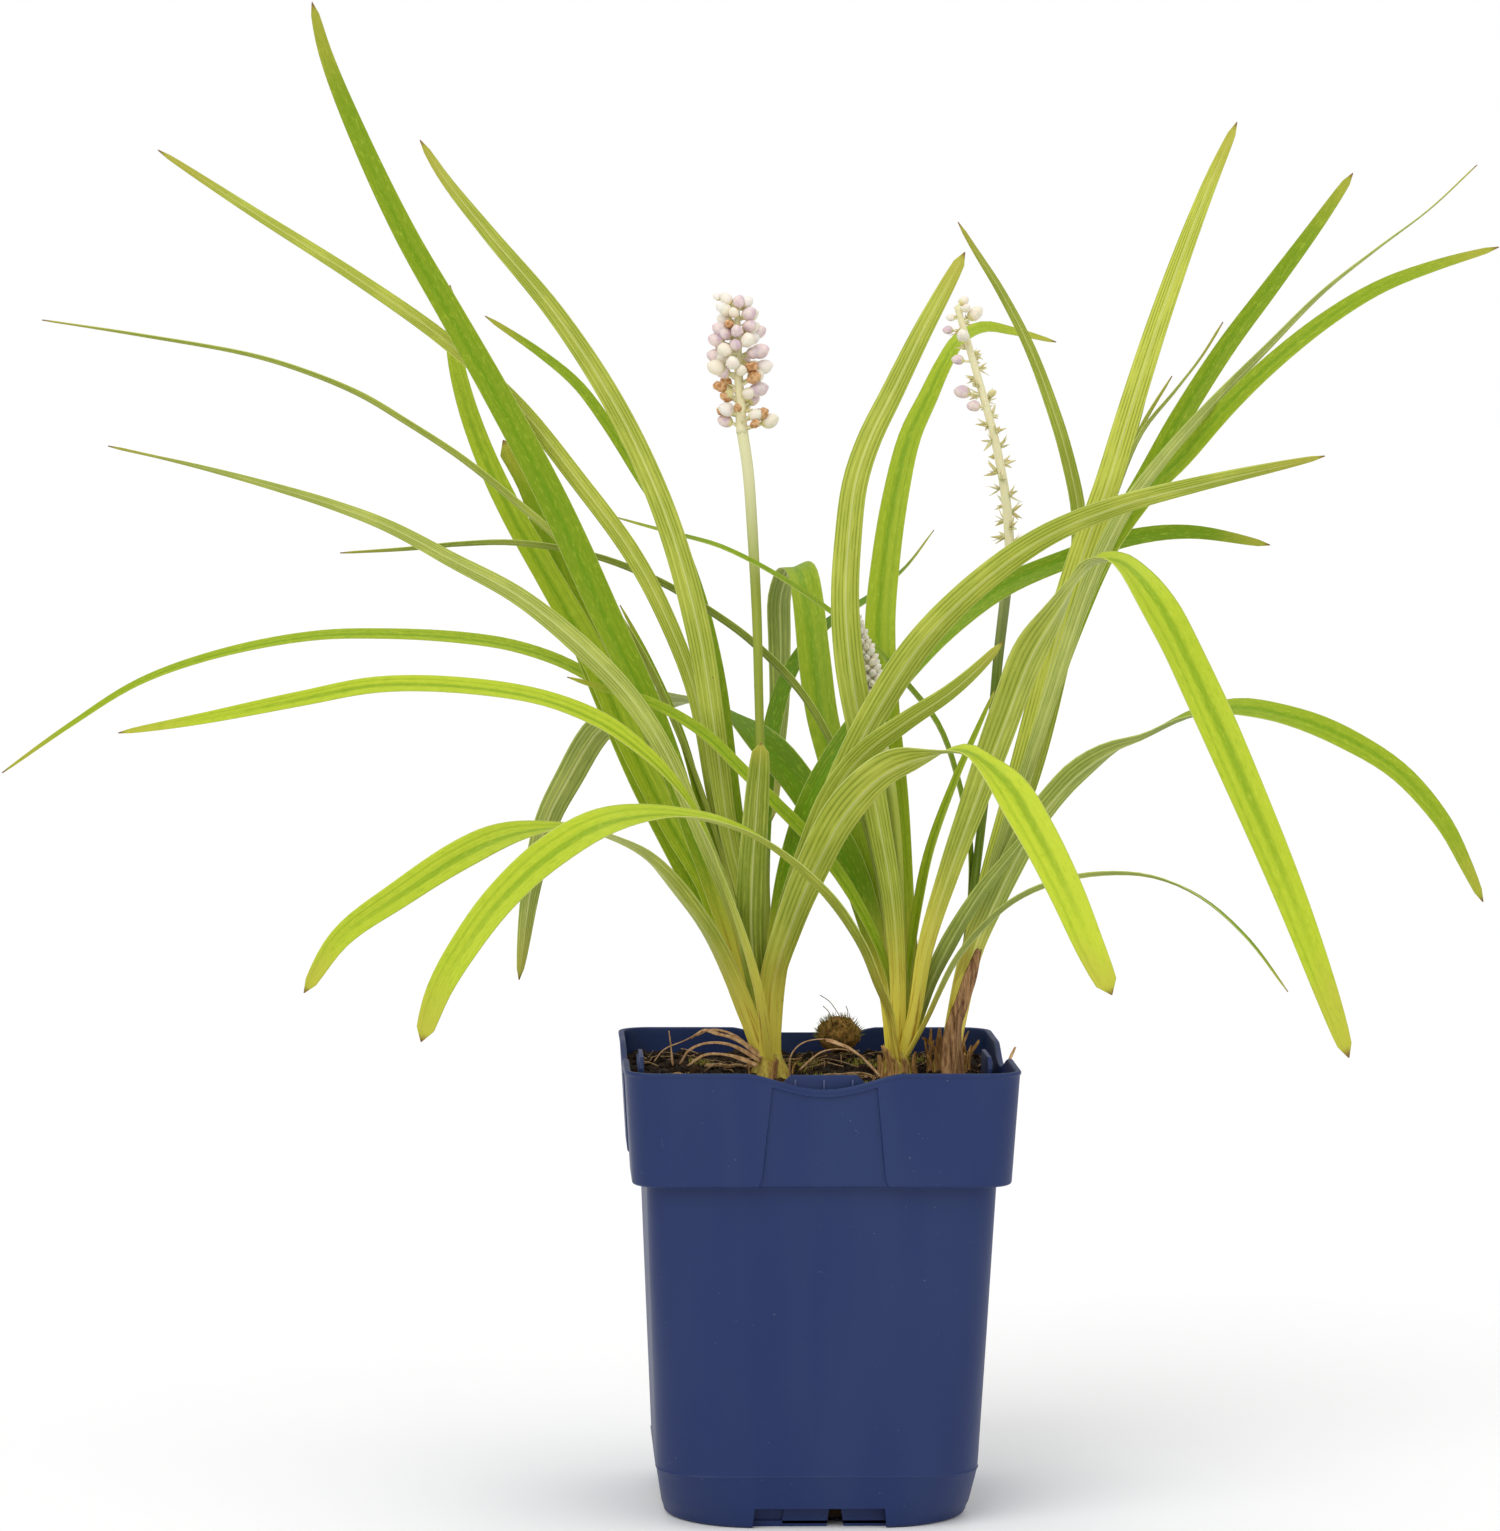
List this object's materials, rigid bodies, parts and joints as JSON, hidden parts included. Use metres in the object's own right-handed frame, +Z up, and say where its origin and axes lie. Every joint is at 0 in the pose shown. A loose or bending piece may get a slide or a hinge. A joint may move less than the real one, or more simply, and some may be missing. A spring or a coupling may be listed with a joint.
{
  "type": "potted liriope plant",
  "caption": "Flowering liriope with arching strap leaves, flower spikes and bare soil, growing in a square tapered nursery pot with a deep collar.",
  "frame": {"origin": "centre of the pot's flat underside, on the surface that the pot stands on", "axes": "+Z up; -Y looks out of the front face, and +X runs to the right of that face; the four sides of the pot are alike"},
  "size_m": [0.4307, 0.2269, 0.4229],
  "materials": {
    "pot_plastic": "dark blue satin injection-moulded plastic with a fine matt grain",
    "potting_soil": "dark moist peat and bark compost with crumbs and fibres",
    "moss": "olive and brown matted moss",
    "leaf": "smooth satin green leaf with fine lengthwise veins, paler olive underneath",
    "flower": "waxy cream and pale pink buds, some withered orange-brown",
    "dry_sheath": "dry papery brown sheath",
    "root": "tan fibrous root"
  },
  "bodies": {
    "root": {"pot": "pot_plastic", "soil": "potting_soil", "moss": "moss", "tuft_left": "leaf", "tuft_middle": "leaf", "tuft_right": "leaf", "flower_left": "flower", "flower_middle": "flower", "flower_right": "flower", "dry_sheath": "dry_sheath", "root_left": "root", "root_middle": "root", "root_back": "root"}
  },
  "joints": []
}
